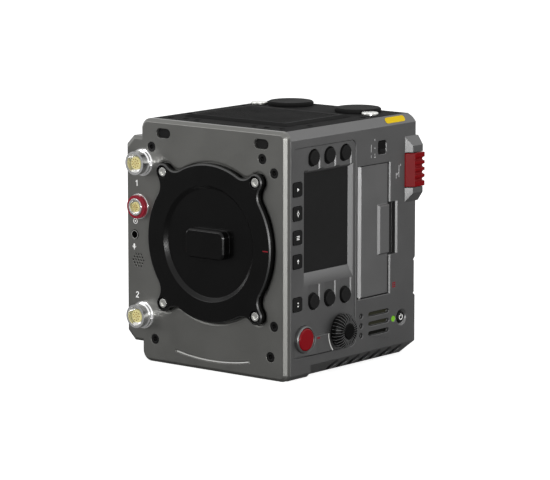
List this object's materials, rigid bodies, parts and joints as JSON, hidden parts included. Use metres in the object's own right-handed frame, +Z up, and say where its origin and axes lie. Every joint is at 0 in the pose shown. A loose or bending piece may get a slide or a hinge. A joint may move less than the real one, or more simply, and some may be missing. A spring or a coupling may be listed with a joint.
{
  "type": "digital cinema camera",
  "caption": "Box-shaped digital cinema camera body with a capped lens port, side control panel with display and dial, media door and battery release.",
  "frame": {"origin": "mouth of the tripod thread in the middle of the base", "axes": "+Z up, -Y out of the lens port, +X towards the control panel"},
  "size_m": [0.1105, 0.1229, 0.1272],
  "materials": {
    "front_metal": "fine satin paint, warm grey",
    "shell_metal": "fine satin paint, neutral grey",
    "cover_metal": "matt black coating",
    "cap_plastic": "matt moulded black",
    "black_plastic": "matt black",
    "key_rubber": "matt silicone",
    "dial_plastic": "satin black, grooved",
    "bright_steel": "bright satin",
    "contact_cream": "cream insulator with gilt pins",
    "signal_red": "satin red anodised",
    "ring_red": "glossy red",
    "dark_glass": "gloss black",
    "lamp_green": "lit green",
    "fin_metal": "bare milled",
    "board_green": "solder resist"
  },
  "bodies": {
    "camera": {"front_plate": "front_metal", "left_shell": "front_metal", "right_shell": "shell_metal", "control_panel": "shell_metal", "rear_panel": "shell_metal", "top_cover": "cover_metal", "bottom_plate": "cover_metal", "battery_plate": "cover_metal", "media_bay": "cover_metal", "top_grille": "cap_plastic", "top_caps": "cap_plastic", "front_screws": "black_plastic", "mic_jack": "black_plastic", "mic_capsule": "black_plastic", "display_module": "black_plastic", "media_card": "black_plastic", "fan_housing": "black_plastic", "lens_mount_ring": "bright_steel", "video_port_upper": "bright_steel", "video_port_lower": "bright_steel", "lens_port_shell": "bright_steel", "record_bezel": "bright_steel", "door_hinge_pin": "bright_steel", "strap_studs": "bright_steel", "sdi_connectors": "bright_steel", "power_inlet": "bright_steel", "video_port_inserts": "contact_cream", "lens_port_insert": "contact_cream", "lens_port_ring": "ring_red", "slot_windows": "dark_glass", "display_glass": "dark_glass", "image_sensor": "dark_glass", "status_light": "lamp_green", "heat_sink": "fin_metal", "dial_encoder": "fin_metal", "sensor_board": "board_green", "main_board": "board_green", "key_board": "board_green"},
    "cap": {"port_cap": "cap_plastic", "port_cap_screws": "bright_steel"},
    "record": {"record_button": "signal_red"},
    "dial": {"jog_dial": "dial_plastic"},
    "dial_press": {"dial_button": "dial_plastic"},
    "power": {"power_button": "key_rubber"},
    "door": {"media_door": "shell_metal"},
    "lock": {"media_lock": "black_plastic"},
    "lever": {"release_lever": "signal_red"},
    "latch": {"battery_latch": "signal_red"},
    "fan": {"fan_rotor": "black_plastic"},
    "round_key_1": {"soft_key_1": "key_rubber"},
    "round_key_2": {"soft_key_2": "key_rubber"},
    "round_key_3": {"soft_key_3": "key_rubber"},
    "round_key_4": {"soft_key_4": "key_rubber"},
    "round_key_5": {"soft_key_5": "key_rubber"},
    "round_key_6": {"soft_key_6": "key_rubber"},
    "square_key_1": {"menu_key_1": "key_rubber"},
    "square_key_2": {"menu_key_2": "key_rubber"},
    "square_key_3": {"menu_key_3": "key_rubber"},
    "square_key_4": {"menu_key_4": "key_rubber"},
    "square_key_5": {"menu_key_5": "key_rubber"}
  },
  "joints": [
    {"name": "round_key_1_press", "type": "slide", "parent": "camera", "child": "round_key_1", "axis": [-1, 0, 0], "range_m": [0, 0.0008], "stiffness_N_per_m": 1500},
    {"name": "round_key_2_press", "type": "slide", "parent": "camera", "child": "round_key_2", "axis": [-1, 0, 0], "range_m": [0, 0.0008], "stiffness_N_per_m": 1500},
    {"name": "round_key_3_press", "type": "slide", "parent": "camera", "child": "round_key_3", "axis": [-1, 0, 0], "range_m": [0, 0.0008], "stiffness_N_per_m": 1500},
    {"name": "round_key_4_press", "type": "slide", "parent": "camera", "child": "round_key_4", "axis": [-1, 0, 0], "range_m": [0, 0.0008], "stiffness_N_per_m": 1500},
    {"name": "round_key_5_press", "type": "slide", "parent": "camera", "child": "round_key_5", "axis": [-1, 0, 0], "range_m": [0, 0.0008], "stiffness_N_per_m": 1500},
    {"name": "round_key_6_press", "type": "slide", "parent": "camera", "child": "round_key_6", "axis": [-1, 0, 0], "range_m": [0, 0.0008], "stiffness_N_per_m": 1500},
    {"name": "square_key_1_press", "type": "slide", "parent": "camera", "child": "square_key_1", "axis": [-1, 0, 0], "range_m": [0, 0.0008], "stiffness_N_per_m": 1500},
    {"name": "square_key_2_press", "type": "slide", "parent": "camera", "child": "square_key_2", "axis": [-1, 0, 0], "range_m": [0, 0.0008], "stiffness_N_per_m": 1500},
    {"name": "square_key_3_press", "type": "slide", "parent": "camera", "child": "square_key_3", "axis": [-1, 0, 0], "range_m": [0, 0.0008], "stiffness_N_per_m": 1500},
    {"name": "square_key_4_press", "type": "slide", "parent": "camera", "child": "square_key_4", "axis": [-1, 0, 0], "range_m": [0, 0.0008], "stiffness_N_per_m": 1500},
    {"name": "square_key_5_press", "type": "slide", "parent": "camera", "child": "square_key_5", "axis": [-1, 0, 0], "range_m": [0, 0.0008], "stiffness_N_per_m": 1500},
    {"name": "record_press", "type": "slide", "parent": "camera", "child": "record", "axis": [-1, 0, 0], "range_m": [0, 0.0008], "stiffness_N_per_m": 1500},
    {"name": "power_press", "type": "slide", "parent": "camera", "child": "power", "axis": [-1, 0, 0], "range_m": [0, 0.0006], "stiffness_N_per_m": 1500},
    {"name": "dial_spin", "type": "hinge", "parent": "camera", "child": "dial", "pos_m": [0.05, -0.0086, 0.0203], "axis": [1, 0, 0], "continuous": true},
    {"name": "dial_press", "type": "slide", "parent": "dial", "child": "dial_press", "axis": [-1, 0, 0], "range_m": [0, 0.0006], "stiffness_N_per_m": 1500},
    {"name": "door_swing", "type": "hinge", "parent": "camera", "child": "door", "pos_m": [0.045, 0.00915, 0.06775], "axis": [0, 0, -1], "range_deg": [0, 95]},
    {"name": "lock_slide", "type": "slide", "parent": "camera", "child": "lock", "axis": [0, 0, -1], "range_m": [0, 0.0024]},
    {"name": "lever_press", "type": "slide", "parent": "camera", "child": "lever", "axis": [-1, 0, 0], "range_m": [0, 0.0025], "stiffness_N_per_m": 1200},
    {"name": "latch_slide", "type": "slide", "parent": "camera", "child": "latch", "axis": [-1, 0, 0], "range_m": [0, 0.0025]},
    {"name": "cap_lift", "type": "slide", "parent": "camera", "child": "cap", "axis": [0, -1, 0], "range_m": [0, 0.025]},
    {"name": "fan_spin", "type": "hinge", "parent": "camera", "child": "fan", "pos_m": [0, -0.015, 0.0655], "axis": [0, 1, 0], "continuous": true}
  ],
  "couplings": [
    {"joint": "latch_slide", "follows": "lever_press", "ratio": 1}
  ]
}
